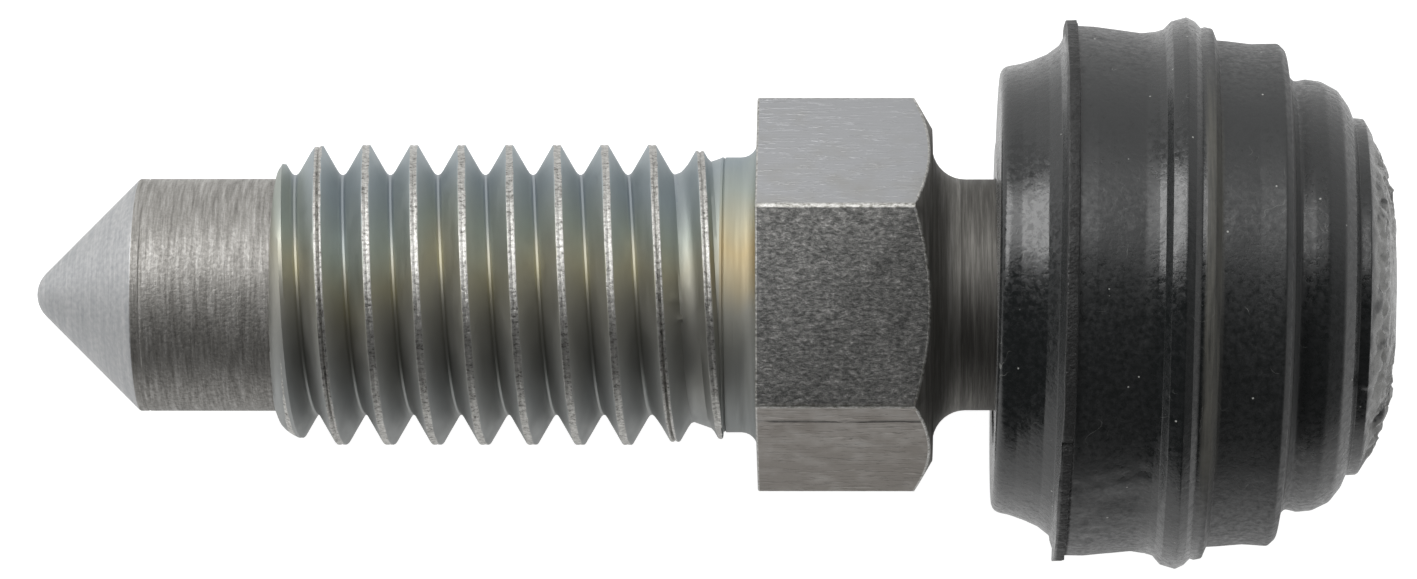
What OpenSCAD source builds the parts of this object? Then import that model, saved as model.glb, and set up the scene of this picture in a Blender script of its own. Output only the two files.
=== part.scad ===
// Bleed (vent) screw for a hydraulic brake or clutch, with its rubber dust cap.
// The pieces are modelled on a common axis, z along the screw from the end of the cap to the cone,
// and then laid down as the part comes to rest on a table: on the cap's flash fin and a thread crest.
// Laid down, +X runs towards the cap, and the cross port faces the table.

/* [Sealing cone and pilot] */
// Included angle of the cone that seals on its seat
cone_angle = 90; // [60:1:120]
// Radius of the rounded nose of the cone
nose_r = 0.8; // [0.2:0.1:1.2]
// Diameter of the plain pilot behind the cone
pilot_d = 6.1; // [5.6:0.05:6.25]
// Length of the pilot
pilot_len = 3.65; // [2.6:0.05:6]

/* [Thread] */
// Diameter over the rolled crests
thread_d = 7.88; // [7.7:0.01:8]
// Distance from one crest to the next
thread_pitch = 1.25; // [1:0.05:1.5]
// Width of the flat on top of each crest
crest_w = 0.2; // [0.1:0.01:0.3]
// Width of the flat at the bottom between two crests
root_w = 0.14; // [0.1:0.01:0.3]
// Included angle between the two flanks
flank_angle = 60; // [55:1:60]
// Length from the pilot to the last crest
thread_len = 11.68; // [8:0.02:16]
// Length over which the first turns rise to full height
lead_len = 1.7; // [0.8:0.1:2.5]
// Length over which the last turns grow shallow
runout_len = 1.3; // [0.6:0.1:2]
// Length of the last turns whose crests stay low
low_len = 1.6; // [1:0.1:3]
// Height that those crests lack
low_crest = 0.16; // [0.04:0.02:0.2]
// Angle about the axis at which the ridge of the thread begins
thread_start = 180; // [0:5:355]

/* [Shank and hexagon] */
// Diameter of the plain shank under the hexagon
shank_d = 7.22; // [6.9:0.01:7.4]
// Length of the plain shank
shank_len = 0.9; // [0.7:0.05:3]
// Radius of the fillet between shank and hexagon
shank_fillet_r = 0.42; // [0.1:0.01:0.6]
// Size of the hexagon across its flats
hex_af = 9; // [8.6:0.1:11]
// Height of the hexagon
hex_len = 4.58; // [3:0.02:8]
// Turn of the hexagon about the axis
hex_turn = -3.5; // [-30:0.5:30]
// Diameter over the slightly rounded corners
corner_d = 10.28; // [9.9:0.01:13]
// Diameter where the chamfer meets the end face
chamfer_d = 8.7; // [8:0.05:8.9]
// Angle of the chamfer from the end face
chamfer_angle = 30; // [15:1:45]

/* [Neck and hose nipple] */
// Diameter of the neck
neck_d = 6.06; // [5:0.02:6.6]
// Radius of the fillet between hexagon and neck
neck_fillet_r = 0.86; // [0.2:0.02:1]
// Length of the neck, from the hexagon to the bulb
neck_len = 3.8; // [3.4:0.05:6]
// Diameter of the bulb that holds the hose and the cap
bulb_d = 7.6; // [6.9:0.05:8]
// Length of the bulb's rounded back
bulb_back_len = 0.9; // [0.5:0.05:1.5]
// Length of the bulb's plain top
bulb_land = 0.7; // [0.3:0.05:1.5]
// Length of the taper from the bulb to the end
taper_len = 4.5; // [3:0.1:6]
// Diameter at the end of the nipple
nipple_end_d = 5.3; // [4.4:0.05:5.8]
// Radius of the rounded edge at the end of the nipple
nipple_edge_r = 0.4; // [0.1:0.05:0.6]

/* [Fluid way] */
// Diameter of the blind bore along the axis
bore_d = 2.4; // [1.5:0.1:3]
// Diameter of the cross port in the pilot
port_d = 1.6; // [1:0.1:1.6]
// Distance from the edge of the cone to the middle of the cross port
port_setback = 0.95; // [0.9:0.05:1.8]

/* [Dust cap] */
// Clearance between the nipple and the pocket of the cap
cap_clearance = 0.05; // [0.02:0.01:0.15]
// Thickness of the wall past the end of the nipple
cap_end_wall = 2.13; // [1.6:0.01:3]
// Thickness of the lip that grips the neck behind the bulb
lip_len = 2.1; // [1.2:0.05:2.4]
// Height of the domed end
dome_h = 0.85; // [0.4:0.05:1]
// Diameter of the collar around the domed end
collar_d = 9.1; // [8.6:0.1:9.8]
// Height of the collar
collar_h = 0.25; // [0.15:0.05:0.6]
// Diameter of the rounded bulge next to the collar
bulge_d = 11.36; // [10.6:0.05:12]
// Height of the bulge
bulge_h = 1.7; // [1.2:0.05:2.4]
// Diameter of the plain band
band_d = 13.2; // [12.4:0.1:14]
// Height of the band with its shoulder
band_h = 1.8; // [1.2:0.05:2.5]
// Diameter over the round rib
rib_d = 14.42; // [13.8:0.02:16]
// Height of the rib
rib_h = 1.85; // [1:0.05:2.4]
// Diameter of the barrel next to the rib
barrel_d = 13.6; // [12.8:0.1:14]
// Diameter of the barrel next to the flash fin
barrel_end_d = 13.86; // [13:0.02:14.4]
// Height of the barrel
barrel_h = 1.88; // [1:0.02:3]
// Diameter over the flash fin at the mould's parting line
fin_d = 14.2; // [13.9:0.02:15]
// Thickness of the flash fin
fin_t = 0.28; // [0.15:0.01:0.4]
// Length of the land past the fin
land_len = 0.16; // [0.1:0.02:0.4]
// Height of the hollow from that land down to the mouth part
hollow_h = 0.63; // [0.3:0.01:1]
// Diameter of the mouth part at the hollow
mouth_d = 12.1; // [11.4:0.1:12.8]
// Diameter of the mouth part at its rounded edge
mouth_end_d = 11.7; // [11:0.1:12.2]
// Radius of the rounded edge at the mouth
mouth_edge_r = 0.6; // [0.1:0.02:0.8]
// Lean of the cap's outside against the screw's axis
cap_lean = 0.88; // [0:0.02:1.2]

/* [Hidden] */
$fn = 64;

// Facets of each arc in a turned profile, and of one turn of the thread
ARC_STEPS = 8;
TURN_STEPS = 40;
// How flat the dome of the cap is in its middle: 1 is a cone, 2 a parabola
DOME_POWER = 2.7;
// Overlap that joins solids or carries a cut past a face
JOIN = 0.2;
// Depth to which the ridge is buried in the core, and height to which it passes the crests
BURY = 0.05;

// The flanks and flats of one pitch give the depth of the thread
flank = tan(flank_angle / 2);
crest_r = thread_d / 2;
root_r = crest_r - (thread_pitch - crest_w - root_w) / (2 * flank);

// Points of an arc about (cr, cz), from angle a to angle b
function arc(cr, cz, r, a, b, steps = ARC_STEPS) =
    [for (i = [0:steps]) let (t = a + (b - a) * i / steps) [cr + r * cos(t), cz + r * sin(t)]];

// Points of a quarter ellipse from [r0, z0] to [r1, z1] that leaves outwards and arrives upwards
function quarter_out(r0, z0, r1, z1, steps = ARC_STEPS) =
    [for (i = [0:steps]) let (t = 90 * i / steps) [r0 + (r1 - r0) * sin(t), z1 - (z1 - z0) * cos(t)]];

// Points of a smooth step in radius from [r0, z0] to [r1, z1], level at both ends
function ease(r0, z0, r1, z1, steps = ARC_STEPS) =
    [for (i = [0:steps]) [r0 + (r1 - r0) * (1 - cos(180 * i / steps)) / 2, z0 + (z1 - z0) * i / steps]];

// Heights of the screw's shoulders above the end of the cap
nipple_z = cap_end_wall + cap_clearance;
bulb_z = nipple_z + taper_len;
bulb_back_z = bulb_z + bulb_land;
neck_z = bulb_back_z + bulb_back_len;
hex_z = neck_z + neck_len;
shank_z = hex_z + hex_len;
runout_z = shank_z + shank_len;
pilot_z = runout_z + thread_len;
cone_z = pilot_z + pilot_len;

// The nose is a sphere that the cone touches
half_angle = cone_angle / 2;
nose_apex_z = cone_z + pilot_d / 2 / tan(half_angle);
nose_centre_z = nose_apex_z - nose_r / sin(half_angle);
port_z = cone_z - port_setback;

// The cap's mouth face stands past the lip, and its outside is laid out from both ends
mouth_z = neck_z + cap_clearance + lip_len;
collar_z = dome_h;
bulge_z = collar_z + collar_h;
band_z = bulge_z + bulge_h;
rib_z = band_z + band_h;
barrel_z = rib_z + rib_h;
fin_z = barrel_z + barrel_h;
land_z = fin_z + fin_t;
hollow_z = land_z + land_len;
lean_z = rib_z + rib_h / 2;

// Profile of the nipple, grown by a clearance for the pocket of the cap
function nipple_profile(grow, end_z, edge_r) = concat(
    [[0, end_z]],
    arc(nipple_end_d / 2 + grow - edge_r, end_z + edge_r, edge_r, -90, 0),
    [[bulb_d / 2 + grow, bulb_z], [bulb_d / 2 + grow, bulb_back_z]],
    [for (p = ease(bulb_d / 2, bulb_back_z, neck_d / 2, neck_z)) p + [grow, grow]]
);

// Half outline of the screw but for the hexagon and the ridge of the thread
function screw_profile() =
    let (neck_r = neck_d / 2, shank_r = shank_d / 2, fillet_z = hex_z - neck_fillet_r)
    concat(
        nipple_profile(0, nipple_z, nipple_edge_r),
        arc(neck_r + neck_fillet_r, fillet_z, neck_fillet_r, 180, 90),
        [[neck_r + neck_fillet_r, hex_z + JOIN], [shank_r + shank_fillet_r, shank_z - JOIN]],
        arc(shank_r + shank_fillet_r, shank_z + shank_fillet_r, shank_fillet_r, 270, 180),
        [[shank_r, runout_z], [root_r, runout_z + runout_len], [root_r, pilot_z]],
        [[pilot_d / 2, pilot_z], [pilot_d / 2, cone_z]],
        arc(0, nose_centre_z, nose_r, half_angle, 90)
    );

// Hexagon with slightly rounded corners and a chamfer on the side of the neck
module hexagon() {
    corner_r = corner_d / 2;
    chamfer_r = chamfer_d / 2;
    intersection() {
        translate([0, 0, hex_z])
            rotate([0, 0, hex_turn])
                cylinder(d = hex_af / cos(30), h = hex_len, $fn = 6);
        rotate_extrude()
            polygon([
                [0, hex_z - JOIN],
                [chamfer_r - JOIN / tan(chamfer_angle), hex_z - JOIN],
                [corner_r, hex_z + (corner_r - chamfer_r) * tan(chamfer_angle)],
                [corner_r, shank_z + JOIN],
                [0, shank_z + JOIN]
            ]);
    }
}

// Right-hand ridge of the thread, swept along its helix
module thread_ridge() {
    top_r = crest_r + BURY;
    base_r = root_r - BURY;
    half_top = crest_w / 2 - BURY * flank;
    half_base = crest_w / 2 + (crest_r - base_r) * flank;
    section = [[base_r, -half_base], [base_r, half_base], [top_r, half_top], [top_r, -half_top]];
    sides = len(section);
    steps = ceil((thread_len + half_base) / thread_pitch * TURN_STEPS);
    points = [for (i = [0:steps]) let (a = thread_start + 360 * i / TURN_STEPS)
        for (p = section) [
            p[0] * cos(a),
            p[0] * sin(a),
            runout_z + p[1] + thread_pitch * i / TURN_STEPS
        ]];
    skin = [for (i = [0:steps - 1]) for (s = [0:sides - 1]) let (a = i * sides, n = (s + 1) % sides)
        each [[a + s, a + sides + n, a + n], [a + s, a + sides + s, a + sides + n]]];
    ends = [
        [for (s = [0:sides - 1]) s],
        [for (s = [0:sides - 1]) (steps + 1) * sides - 1 - s]
    ];
    polyhedron(points = points, faces = concat(skin, ends), convexity = 12);
}

// Half outline of the space that the crests may fill: it rises from the pilot and ends in low last turns
function crest_profile() =
    let (start_z = runout_z - crest_w / 2, low_z = runout_z + low_len)
    concat(
        [[0, start_z], [crest_r - low_crest, start_z]],
        [[crest_r - low_crest, low_z], [crest_r, low_z + thread_pitch / 4]],
        [for (i = [0:ARC_STEPS]) let (t = 90 * i / ARC_STEPS) [
            root_r + (crest_r - root_r) * cos(t),
            pilot_z - lead_len * (1 - sin(t))
        ]],
        [[0, pilot_z]]
    );

// Blind bore from the nipple's end to the cross port, which opens on one side of the pilot
module fluid_way() {
    translate([0, 0, nipple_z - JOIN])
        cylinder(d = bore_d, h = port_z - nipple_z + JOIN);
    translate([0, 0, port_z])
        rotate([-90, 0, 0])
            cylinder(d = port_d, h = pilot_d / 2 + JOIN);
}

// Dome of the cap's end, from its axis to the collar
function dome_profile() =
    [for (i = [0:ARC_STEPS]) let (t = i / ARC_STEPS) [collar_d / 2 * t, dome_h * pow(t, DOME_POWER)]];

// Round rib between the band and the barrel
function rib_profile() =
    let (steps = 2 * ARC_STEPS, proud = rib_d / 2 - (band_d + barrel_d) / 4)
    [for (i = [0:steps]) let (t = i / steps)
        [(band_d + (barrel_d - band_d) * t) / 2 + proud * sin(180 * t), rib_z + rib_h * t]];

// Half outline of the cap's outside, from the middle of its end to the mouth face
function cap_profile() =
    let (
        land_r = barrel_end_d / 2 - (fin_d - barrel_end_d) / 4,
        edge_c = mouth_end_d / 2 - mouth_edge_r
    )
    concat(
        dome_profile(),
        [[collar_d / 2, bulge_z]],
        quarter_out(collar_d / 2, bulge_z, bulge_d / 2, band_z),
        [[band_d / 2, band_z + (band_d - bulge_d) / 4]],
        rib_profile(),
        [[barrel_end_d / 2, fin_z], [fin_d / 2, fin_z], [fin_d / 2, land_z], [land_r, land_z]],
        quarter_out(land_r, hollow_z, mouth_d / 2, hollow_z + hollow_h),
        arc(edge_c, mouth_z - mouth_edge_r, mouth_edge_r, 0, 90),
        [[0, mouth_z]]
    );

// The part lies on the cap and on whatever of the screw reaches furthest down, so the slope of its
// axis is that of the line that touches both outlines
function fall(a, b) = (a[0] - b[0]) / (b[1] - a[1]);
screw_reach = concat(crest_profile(), [[pilot_d / 2, cone_z], [corner_d / 2, shank_z]]);
cap_reach = cap_profile();
rest_angle = atan(min([for (b = screw_reach) max([for (a = cap_reach) if (a[1] < b[1]) fall(a, b)])]));
rest_z = max([for (p = concat(cap_reach, screw_reach)) p[1] * sin(rest_angle) + p[0] * cos(rest_angle)]);
cap_end_x = max([for (p = cap_reach) p[0] * sin(rest_angle) - p[1] * cos(rest_angle)]);
nose_x = -nose_centre_z * cos(rest_angle) - nose_r;
rest_x = -(cap_end_x + nose_x) / 2;

// Lays a piece down from the common axis, with the middle of the part's box over the origin
module lying() {
    translate([rest_x, 0, rest_z])
        rotate([0, -rest_angle, 0])
            rotate([-90, 0, 0])
                rotate([0, -90, 0])
                    children();
}

module valve_screw() {
    color([0.56, 0.56, 0.55])
        lying()
            difference() {
                union() {
                    rotate_extrude() polygon(screw_profile());
                    hexagon();
                    intersection() {
                        thread_ridge();
                        rotate_extrude() polygon(crest_profile());
                    }
                }
                fluid_way();
            }
}

// Pocket that follows the nipple, and the hole in the lip for the neck
module cap_pocket() {
    rotate_extrude()
        polygon(concat(
            nipple_profile(cap_clearance, cap_end_wall, nipple_edge_r),
            [[neck_d / 2 + cap_clearance, mouth_z + JOIN], [0, mouth_z + JOIN]]
        ));
}

module dust_cap() {
    color([0.12, 0.13, 0.13])
        lying()
            difference() {
                translate([0, 0, lean_z])
                    rotate([0, cap_lean, 0])
                        translate([0, 0, -lean_z])
                            rotate_extrude() polygon(cap_profile());
                cap_pocket();
            }
}

valve_screw();
dust_cap();
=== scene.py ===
import math

import bpy
import numpy as np
from mathutils import Matrix, Vector, noise


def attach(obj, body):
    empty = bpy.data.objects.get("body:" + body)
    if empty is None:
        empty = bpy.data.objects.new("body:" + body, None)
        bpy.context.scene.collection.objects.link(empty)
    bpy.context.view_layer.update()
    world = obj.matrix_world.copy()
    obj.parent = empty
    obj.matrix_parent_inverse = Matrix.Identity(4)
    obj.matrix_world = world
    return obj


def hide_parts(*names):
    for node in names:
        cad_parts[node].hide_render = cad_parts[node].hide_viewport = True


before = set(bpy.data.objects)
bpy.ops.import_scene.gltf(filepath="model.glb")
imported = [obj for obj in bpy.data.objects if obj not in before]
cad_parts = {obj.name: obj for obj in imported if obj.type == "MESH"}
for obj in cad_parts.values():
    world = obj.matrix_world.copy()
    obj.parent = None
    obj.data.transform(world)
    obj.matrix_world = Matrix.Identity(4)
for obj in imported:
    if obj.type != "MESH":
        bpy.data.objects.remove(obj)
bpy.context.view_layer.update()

# Lengths are in millimetres until a piece is laid down: z runs up the screw's axis from the end of the
# cap to the cone, x is level across the screw and y points at the table
MM = 0.001
REST_ANGLE = math.radians(9.33861)
REST_X, REST_Z = 17.4536, 8.40303
LAY_DOWN = (
    Matrix.Translation((REST_X * MM, 0, REST_Z * MM))
    @ Matrix.Rotation(-REST_ANGLE, 4, "Y")
    @ Matrix.Rotation(math.radians(-90), 4, "X")
    @ Matrix.Rotation(math.radians(-90), 4, "Y")
)

# Heights of the screw's shoulders above the end of the cap
NIPPLE_Z, BULB_Z, BULB_BACK_Z, NECK_Z = 2.18, 6.68, 7.38, 8.28
HEX_Z, SHANK_Z, RUNOUT_Z, PILOT_Z, CONE_Z = 12.08, 16.66, 17.56, 29.24, 32.89
NOSE_Z, NOSE_R = 34.8086, 0.8
PORT_Z, PORT_R, BORE_R = 31.94, 0.8, 1.2

# Radii of the screw
PILOT_R, ROOT_R, CREST_R, SHANK_R = 3.05, 3.152, 3.94, 3.61
NECK_R, BULB_R, NIPPLE_END_R = 3.03, 3.8, 2.65
NECK_FILLET, SHANK_FILLET = 0.86, 0.42
PITCH, CREST_W = 1.25, 0.2
HEX_FLATS, HEX_TURN = 9.0, math.radians(-3.5)
CHAMFER_R, CHAMFER_SLOPE = 4.35, math.tan(math.radians(30))

# Heights and radii of the cap
DOME_R, DOME_Z, COLLAR_R, COLLAR_Z, BARREL_R = 4.66, 0.92, 4.55, 1.2, 6.9
FIN_Z, LAND_Z, FIN_R, MOUTH_Z = 8.46, 8.74, 7.08, 10.43
POCKET_GAP = 0.05
CAP_LEAN, LEAN_Z, CAP_SHIFT = math.radians(1.2), 5.66, 0.05


def deselect():
    bpy.ops.object.select_all(action="DESELECT")


def active(piece):
    """Only this piece is selected, and the operators act on it."""
    deselect()
    piece.select_set(True)
    bpy.context.view_layer.objects.active = piece


def named(piece, name):
    piece.name = piece.data.name = name
    return piece


def rounded(corners, steps=5):
    """Outline through corners (r, z, radius), each corner rounded to about its radius."""
    line = []
    for i, (r, z, radius) in enumerate(corners):
        here = Vector((r, z))
        if radius == 0 or i in (0, len(corners) - 1):
            line.append(here)
            continue
        back = Vector(corners[i - 1][:2]) - here
        on = Vector(corners[i + 1][:2]) - here
        half = back.angle(on) / 2
        reach = min(radius / math.tan(half), back.length * 0.48, on.length * 0.48)
        start, end = here + back.normalized() * reach, here + on.normalized() * reach
        for k in range(steps + 1):
            t = k / steps
            line.append(start * (1 - t) ** 2 + here * 2 * t * (1 - t) + end * t ** 2)
    return line


def split(line, longest):
    """The same outline with no stretch longer than this."""
    out = [line[0]]
    for a, b in zip(line, line[1:]):
        parts = max(1, math.ceil((b - a).length / longest))
        out += [a.lerp(b, k / parts) for k in range(1, parts + 1)]
    return out


def drawn(name, line):
    """An outline drawn by extruding one point along it, in the plane of r = x and z."""
    deselect()
    bpy.ops.mesh.primitive_plane_add(size=1)
    piece = named(bpy.context.object, name)
    bpy.ops.object.mode_set(mode="EDIT")
    bpy.ops.mesh.merge(type="CENTER")
    bpy.ops.transform.translate(value=(line[0].x, 0, line[0].y))
    for a, b in zip(line, line[1:]):
        bpy.ops.mesh.extrude_region_move(
            TRANSFORM_OT_translate={"value": (b.x - a.x, 0, b.y - a.y)}
        )
    bpy.ops.object.mode_set(mode="OBJECT")
    return piece


def spun(name, line, steps):
    """A closed body turned from an outline that starts and ends on the axis."""
    piece = drawn(name, line)
    bpy.ops.object.mode_set(mode="EDIT")
    bpy.ops.mesh.select_all(action="SELECT")
    bpy.ops.mesh.spin(steps=steps, angle=math.tau, center=(0, 0, 0), axis=(0, 0, 1))
    bpy.ops.mesh.select_all(action="SELECT")
    bpy.ops.mesh.remove_doubles(threshold=0.0005)
    bpy.ops.mesh.normals_make_consistent(inside=False)
    bpy.ops.object.mode_set(mode="OBJECT")
    return piece


def joined(piece, tool, operation):
    """The piece with the tool added to it, cut out of it, or kept in common with it."""
    active(piece)
    bpy.ops.object.modifier_add(type="BOOLEAN")
    step = piece.modifiers[-1]
    step.operation, step.solver, step.object = operation, "EXACT", tool
    bpy.ops.object.modifier_apply(modifier=step.name)
    bpy.data.objects.remove(tool)
    return piece


def points_of(piece):
    flat = np.empty(len(piece.data.vertices) * 3)
    piece.data.vertices.foreach_get("co", flat)
    return flat.reshape(-1, 3)


def put_points(piece, points):
    piece.data.vertices.foreach_set("co", points.ravel())
    piece.data.update()


def polar(points):
    """Radius and angle about the axis."""
    return np.hypot(points[:, 0], points[:, 1]), np.arctan2(points[:, 1], points[:, 0])


def put_polar(points, radius, angle):
    points[:, 0], points[:, 1] = radius * np.cos(angle), radius * np.sin(angle)


def bump(x, centre, width):
    """A smooth hill of height 1 about a centre."""
    return np.exp(-(((x - centre) / width) ** 2))


def turn_from(angle, centre):
    """Difference of two angles, from -180 to 180 degrees."""
    return (angle - centre + math.pi) % math.tau - math.pi


def grain(points, size, seed):
    """Smooth noise from -1 to 1 over points, with grains of this size."""
    shift = Vector((seed * 7.3, seed * 3.1, seed * 5.7))
    return np.array([noise.noise(Vector(p) / size + shift) for p in points])


def laid_down(piece, body, node, smooth_angle):
    """Shades a finished piece, lays it on the table, ties it to its body and hides the imported node that it
    stands in for.
    """
    active(piece)
    bpy.ops.object.shade_smooth_by_angle(angle=math.radians(smooth_angle))
    piece.matrix_world = LAY_DOWN @ Matrix.Scale(MM, 4)
    bpy.ops.object.transform_apply(location=True, rotation=True, scale=True)
    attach(piece, body)
    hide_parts(node)
    return piece


# Materials work in millimetres: a noise of scale 8 has grains of an eighth of a millimetre


def linear(colour):
    """An sRGB hex colour as linear red, green, blue and alpha."""
    parts = [int(colour[i:i + 2], 16) / 255 for i in (1, 3, 5)]
    return tuple(p / 12.92 if p <= 0.04045 else ((p + 0.055) / 1.055) ** 2.4 for p in parts) + (1,)


def connect(tree, node, inputs):
    """Sets a node's inputs: what is another node's output is linked, and any other value is set."""
    for socket, value in inputs.items():
        if isinstance(value, bpy.types.NodeSocket):
            tree.links.new(value, node.inputs[socket])
        else:
            node.inputs[socket].default_value = value


def add(tree, kind, inputs=None, output=0, stops=(), **attributes):
    """Adds a node with its attributes, inputs and colour stops, and gives one of its outputs."""
    node = tree.nodes.new(kind)
    for name, value in attributes.items():
        setattr(node, name, value)
    connect(tree, node, inputs or {})
    for i, (position, colour) in enumerate(stops):
        if i == len(node.color_ramp.elements):
            node.color_ramp.elements.new(position)
        node.color_ramp.elements[i].position = position
        node.color_ramp.elements[i].color = linear(colour)
    return node.outputs[output]


def fresh(name, **settings):
    """A new material with its tree and its shader."""
    material = bpy.data.materials.new(name)
    material.use_nodes = True
    tree = material.node_tree
    shader = tree.nodes["Principled BSDF"]
    connect(tree, shader, settings)
    return material, tree, shader


def on_axis(tree):
    """Object coordinates turned back to the screw's own axis, in millimetres."""
    return add(tree, "ShaderNodeMapping", {
        "Vector": add(tree, "ShaderNodeTexCoord", output="Object"),
        "Location": LAY_DOWN.to_translation(),
        "Rotation": LAY_DOWN.to_euler(),
        "Scale": (MM, MM, MM),
    }, vector_type="TEXTURE")


def turned_cone():
    """Zinc-plated steel finely turned: a pale matte face with faint rings."""
    material, tree, shader = fresh("fine_turned_zinc_plated_steel", Metallic=1.0)
    place = on_axis(tree)
    # Tool marks every 0.05 mm or so, nearly unbroken around the axis
    around = add(tree, "ShaderNodeMapping", {"Vector": place, "Scale": (0.4, 0.4, 12.0)})
    rings = add(tree, "ShaderNodeTexNoise", {
        "Vector": around, "Scale": 1.0, "Detail": 4.0, "Roughness": 0.7,
    })
    grit = add(tree, "ShaderNodeTexNoise", {"Vector": place, "Scale": 8.0, "Detail": 3.0})
    tone = add(tree, "ShaderNodeMath", {0: rings, 1: grit}, operation="ADD")
    colour = add(tree, "ShaderNodeValToRGB", {
        "Fac": add(tree, "ShaderNodeMath", {0: tone, 1: 0.5}, operation="MULTIPLY"),
    }, stops=[(0.35, "#a2a4a6"), (0.5, "#b2b3b4"), (0.65, "#c2c2c2")])
    dull = add(tree, "ShaderNodeMapRange", {
        "Value": grit, "From Min": 0.3, "From Max": 0.7, "To Min": 0.5, "To Max": 0.6,
    })
    normal = add(tree, "ShaderNodeBump", {"Height": tone, "Distance": 0.006 * MM})
    connect(tree, shader, {"Base Color": colour, "Roughness": dull, "Normal": normal})
    return material


def turned_pilot():
    """Zinc-plated steel as the lathe left it: broken rings that sparkle, over a darker ground."""
    material, tree, shader = fresh("turned_zinc_plated_steel", Metallic=1.0)
    place = on_axis(tree)
    # Rings every 0.1 mm, and torn specks of 0.07 mm on them
    around = add(tree, "ShaderNodeMapping", {"Vector": place, "Scale": (0.8, 0.8, 10.0)})
    rings = add(tree, "ShaderNodeTexNoise", {
        "Vector": around, "Scale": 1.0, "Detail": 4.0, "Roughness": 0.7,
    })
    specks = add(tree, "ShaderNodeTexNoise", {"Vector": place, "Scale": 12.0, "Detail": 2.0})
    colour = add(tree, "ShaderNodeValToRGB", {"Fac": rings}, stops=[
        (0.3, "#7e7c78"), (0.5, "#9b9995"), (0.75, "#bdbbb8"),
    ])
    dull = add(tree, "ShaderNodeMapRange", {
        "Value": specks, "From Min": 0.3, "From Max": 0.7, "To Min": 0.5, "To Max": 0.72,
    })
    height = add(tree, "ShaderNodeMath", {0: rings, 1: specks}, operation="ADD")
    normal = add(tree, "ShaderNodeBump", {"Height": height, "Distance": 0.013 * MM})
    connect(tree, shader, {"Base Color": colour, "Roughness": dull, "Normal": normal})
    return material


def dull_steel(name, stops):
    """Turned steel by the cap: dull and brownish, with clear rings; the neck's dark colours are painted
    shade of the cap.
    """
    material, tree, shader = fresh(name, Metallic=1.0, Roughness=0.6)
    around = add(tree, "ShaderNodeMapping", {"Vector": on_axis(tree), "Scale": (0.5, 0.5, 13.0)})
    rings = add(tree, "ShaderNodeTexNoise", {
        "Vector": around, "Scale": 1.0, "Detail": 4.0, "Roughness": 0.75,
    })
    colour = add(tree, "ShaderNodeValToRGB", {"Fac": rings}, stops=stops)
    normal = add(tree, "ShaderNodeBump", {"Height": rings, "Distance": 0.014 * MM})
    connect(tree, shader, {"Base Color": colour, "Normal": normal})
    return material


def neck_with_painted_shade():
    """Neck between the hexagon and the cap: the darkest and brownest steel of the part, its darkness painted
    shade of the cap and hexagon.
    """
    return dull_steel("neck_steel_painted_shade", [(0.3, "#5c5a56"), (0.5, "#716f6b"), (0.7, "#8e8c87")])


def turned_shoulder():
    """Fillet and chamfer of the hexagon: as dull as the neck, but paler, without the neck's painted shade.
    """
    return dull_steel("handled_turned_steel", [(0.3, "#767470"), (0.5, "#8d8b86"), (0.7, "#a8a6a2")])


def chromate_tint(tree, place, radius, stops):
    """Tints of the passivated zinc: they drift along the screw, and change around its side towards the
    lamps, where they are a painted colour of the highlight.
    """
    # The share of the side that faces the lamps moves the ramp, so part of each tint is a painted highlight
    # colour
    side = add(tree, "ShaderNodeMath", {
        0: add(tree, "ShaderNodeSeparateXYZ", {"Vector": place}, "X"), 1: 0.5 / radius, 2: 0.2,
    }, operation="MULTIPLY_ADD")
    slow = add(tree, "ShaderNodeMapping", {"Vector": place, "Scale": (0.14, 0.14, 0.45)})
    drift = add(tree, "ShaderNodeTexNoise", {"Vector": slow, "Scale": 1.0, "Detail": 2.0})
    height = add(tree, "ShaderNodeMath", {0: drift, 1: 0.6, 2: side}, operation="MULTIPLY_ADD")
    return add(tree, "ShaderNodeValToRGB", {"Fac": height}, stops=stops)


def shank_steel():
    """Rolled shank under the hexagon: blue-grey above, and straw yellow where it faces the light, a tint
    painted where its highlight falls.
    """
    material, tree, shader = fresh("rolled_shank_steel", Metallic=1.0)
    place = on_axis(tree)
    colour = chromate_tint(tree, place, SHANK_R, [
        (0.12, "#9a9d9c"), (0.38, "#a5a49c"), (0.48, "#aea58e"), (0.62, "#b1a383"), (0.7, "#aea892"),
        (0.82, "#a3a9a3"), (0.95, "#9aa3a6"),
    ])
    around = add(tree, "ShaderNodeMapping", {"Vector": place, "Scale": (0.5, 0.5, 8.0)})
    rings = add(tree, "ShaderNodeTexNoise", {"Vector": around, "Scale": 1.0, "Detail": 3.0})
    dull = add(tree, "ShaderNodeMapRange", {
        "Value": rings, "From Min": 0.3, "From Max": 0.7, "To Min": 0.58, "To Max": 0.7,
    })
    normal = add(tree, "ShaderNodeBump", {"Height": rings, "Distance": 0.008 * MM})
    connect(tree, shader, {"Base Color": colour, "Roughness": dull, "Normal": normal})
    return material


def rolled_flank():
    """Flanks of the rolled thread: smooth zinc, grey with a drift of green and blue."""
    material, tree, shader = fresh("rolled_thread_flank", Metallic=1.0)
    place = on_axis(tree)
    colour = chromate_tint(tree, place, CREST_R, [
        (0.1, "#a0a2a1"), (0.4, "#a7a69f"), (0.55, "#aaa89a"), (0.7, "#a3a8a1"), (0.9, "#a0a8ab"),
    ])
    along = add(tree, "ShaderNodeMapping", {"Vector": place, "Scale": (1.2, 1.2, 5.0)})
    flow = add(tree, "ShaderNodeTexNoise", {"Vector": along, "Scale": 1.0, "Detail": 3.0})
    dull = add(tree, "ShaderNodeMapRange", {
        "Value": flow, "From Min": 0.3, "From Max": 0.7, "To Min": 0.5, "To Max": 0.62,
    })
    normal = add(tree, "ShaderNodeBump", {"Height": flow, "Distance": 0.008 * MM})
    connect(tree, shader, {"Base Color": colour, "Roughness": dull, "Normal": normal})
    return material


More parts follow.
